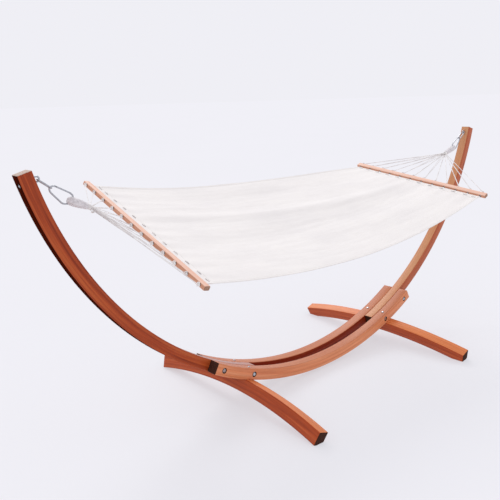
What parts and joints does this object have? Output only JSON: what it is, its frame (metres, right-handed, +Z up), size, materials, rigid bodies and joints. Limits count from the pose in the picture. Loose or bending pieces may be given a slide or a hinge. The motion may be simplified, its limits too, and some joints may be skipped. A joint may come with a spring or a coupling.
{
  "type": "hammock on stand",
  "caption": "Cotton hammock with spreader bars, hung by cords and spring hooks on a curved laminated wooden stand with two cross feet.",
  "frame": {"origin": "on the floor, below the middle of the stand's arc", "axes": "+X along the hammock from the left arm to the right arm, +Y from the near rail to the far rail, +Z up"},
  "size_m": [3.1938, 1.194, 1.2582],
  "materials": {
    "stand_wood": "stained and varnished softwood, satin",
    "bar_wood": "plain sanded beech",
    "zinc": "bright zinc plated steel",
    "rope": "braided cotton cord",
    "felt": "soft felt-like wrapping",
    "canvas": "plain woven cotton canvas"
  },
  "bodies": {
    "stand": {"far_rail": "stand_wood", "left_arm": "stand_wood", "left_eye_bolt": "zinc", "left_eye_nut": "zinc", "left_eye_washer": "zinc", "left_foot": "stand_wood", "left_foot_far_bolt": "zinc", "left_foot_far_nut": "zinc", "left_foot_far_washer": "zinc", "left_foot_near_bolt": "zinc", "left_foot_near_nut": "zinc", "left_foot_near_washer": "zinc", "left_lower_bolt": "zinc", "left_lower_far_washer": "zinc", "left_lower_near_washer": "zinc", "left_lower_nut": "zinc", "left_upper_bolt": "zinc", "left_upper_far_washer": "zinc", "left_upper_near_washer": "zinc", "left_upper_nut": "zinc", "near_rail": "stand_wood", "right_arm": "stand_wood", "right_eye_bolt": "zinc", "right_eye_nut": "zinc", "right_eye_washer": "zinc", "right_foot": "stand_wood", "right_foot_far_bolt": "zinc", "right_foot_far_nut": "zinc", "right_foot_far_washer": "zinc", "right_foot_near_bolt": "zinc", "right_foot_near_nut": "zinc", "right_foot_near_washer": "zinc", "right_lower_bolt": "zinc", "right_lower_far_washer": "zinc", "right_lower_near_washer": "zinc", "right_lower_nut": "zinc", "right_upper_bolt": "zinc", "right_upper_far_washer": "zinc", "right_upper_near_washer": "zinc", "right_upper_nut": "zinc"},
    "hammock": {"hammock_cloth": "canvas", "left_cord_fan": "rope", "left_hook_body": "zinc", "left_hook_pin": "zinc", "left_link": "zinc", "left_rope_sleeve": "felt", "left_spreader_bar": "bar_wood", "right_cord_fan": "rope", "right_hook_body": "zinc", "right_hook_pin": "zinc", "right_link": "zinc", "right_rope_sleeve": "felt", "right_spreader_bar": "bar_wood"},
    "left_gate": {"left_hook_gate": "zinc"},
    "right_gate": {"right_hook_gate": "zinc"}
  },
  "joints": [
    {"name": "hammock_swing", "type": "hinge", "parent": "stand", "child": "hammock", "pos_m": [0, 0, 1.21574], "axis": [1, 0, 0], "range_deg": [-30, 30]},
    {"name": "left_gate_hinge", "type": "hinge", "parent": "hammock", "child": "left_gate", "pos_m": [-1.44467, 0, 1.18557], "axis": [0, 1, 0], "range_deg": [0, 18], "stiffness_Nm_per_rad": 0.15, "springref_deg": -20.05},
    {"name": "right_gate_hinge", "type": "hinge", "parent": "hammock", "child": "right_gate", "pos_m": [1.44467, 0, 1.18557], "axis": [0, -1, 0], "range_deg": [0, 18], "stiffness_Nm_per_rad": 0.15, "springref_deg": -20.05}
  ]
}
